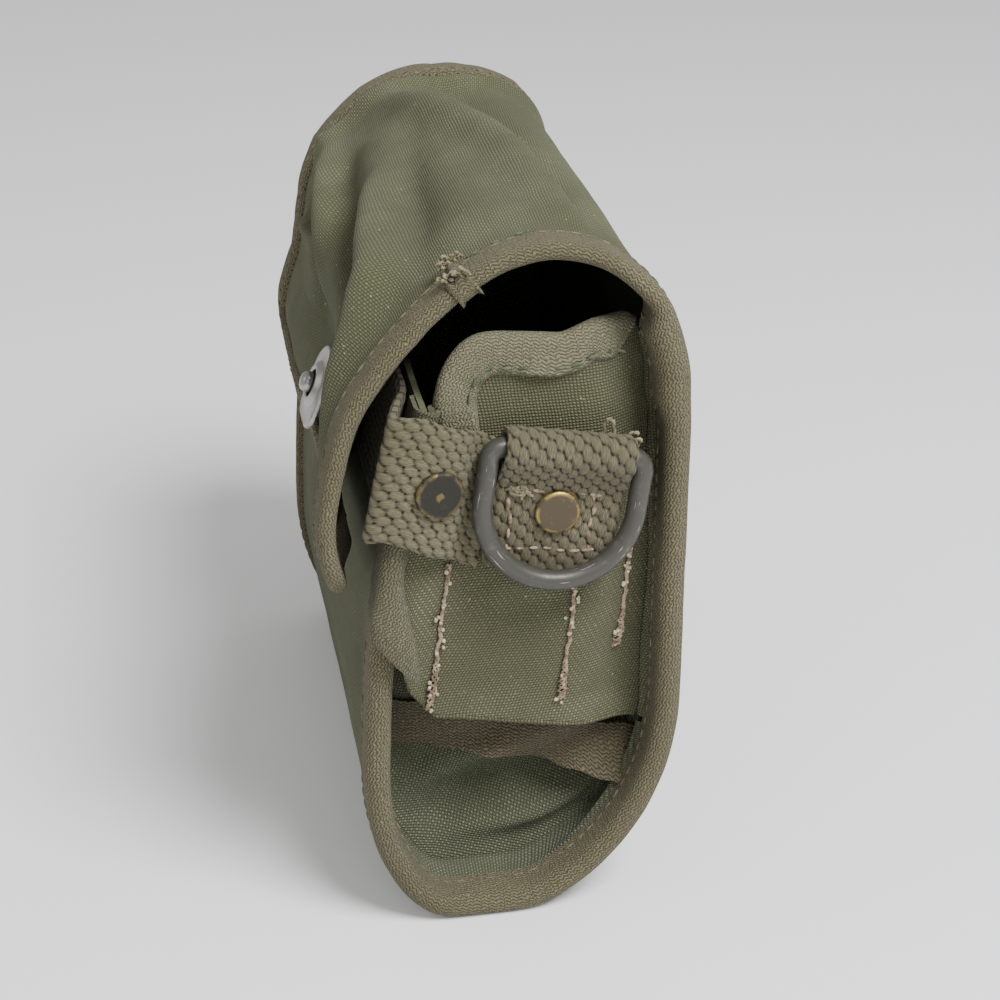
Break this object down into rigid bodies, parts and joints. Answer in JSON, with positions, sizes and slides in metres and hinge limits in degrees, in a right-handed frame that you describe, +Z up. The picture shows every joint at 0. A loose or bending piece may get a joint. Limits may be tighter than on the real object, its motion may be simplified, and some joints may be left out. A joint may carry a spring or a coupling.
{
  "type": "canvas equipment pouch",
  "caption": "Canvas equipment pouch with rounded bottom, snap flap, tape-bound open ends and a D-ring on a webbing tab at each end.",
  "frame": {"origin": "middle of the base on the surface it stands on", "axes": "+X along the length towards the end with the mirrored side named right, -Y the front with the snap, +Z up"},
  "size_m": [0.1494, 0.0728, 0.1484],
  "materials": {
    "canvas": "matt, olive green canvas",
    "binding_tape": "matt, tan cotton tape",
    "webbing": "matt, coarse tan webbing",
    "ring_wire": "dark grey paint, worn",
    "tab_rivet": "aged brass",
    "strap_rivet": "dark paint, worn through in the middle",
    "snap": "nickel plated"
  },
  "bodies": {
    "pouch": {"body_panel": "canvas", "flap_panel": "canvas", "flap_edge_binding": "binding_tape", "snap_socket": "snap", "snap_stud": "snap", "right_rim_binding": "binding_tape", "right_front_binding": "binding_tape", "right_end_upper_panel": "canvas", "right_end_lower_panel": "canvas", "right_seam_tape": "binding_tape", "right_mouth_binding": "binding_tape", "right_ring_strap": "webbing", "right_ring_tab": "webbing", "right_tab_rivet": "tab_rivet", "right_strap_rivet": "strap_rivet", "left_rim_binding": "binding_tape", "left_front_binding": "binding_tape", "left_end_upper_panel": "canvas", "left_end_lower_panel": "canvas", "left_seam_tape": "binding_tape", "left_mouth_binding": "binding_tape", "left_ring_strap": "webbing", "left_ring_tab": "webbing", "left_tab_rivet": "tab_rivet", "left_strap_rivet": "strap_rivet"},
    "right_ring": {"right_d_ring": "ring_wire"},
    "left_ring": {"left_d_ring": "ring_wire"}
  },
  "joints": [
    {"name": "right_ring_swing", "type": "hinge", "parent": "pouch", "child": "right_ring", "pos_m": [0.0696, 0.01198, 0.10647], "axis": [0, -0.9854, 0.1702], "range_deg": [0, 150]},
    {"name": "left_ring_swing", "type": "hinge", "parent": "pouch", "child": "left_ring", "pos_m": [-0.0696, 0.01198, 0.10647], "axis": [0, 0.9854, -0.1702], "range_deg": [0, 150]}
  ]
}
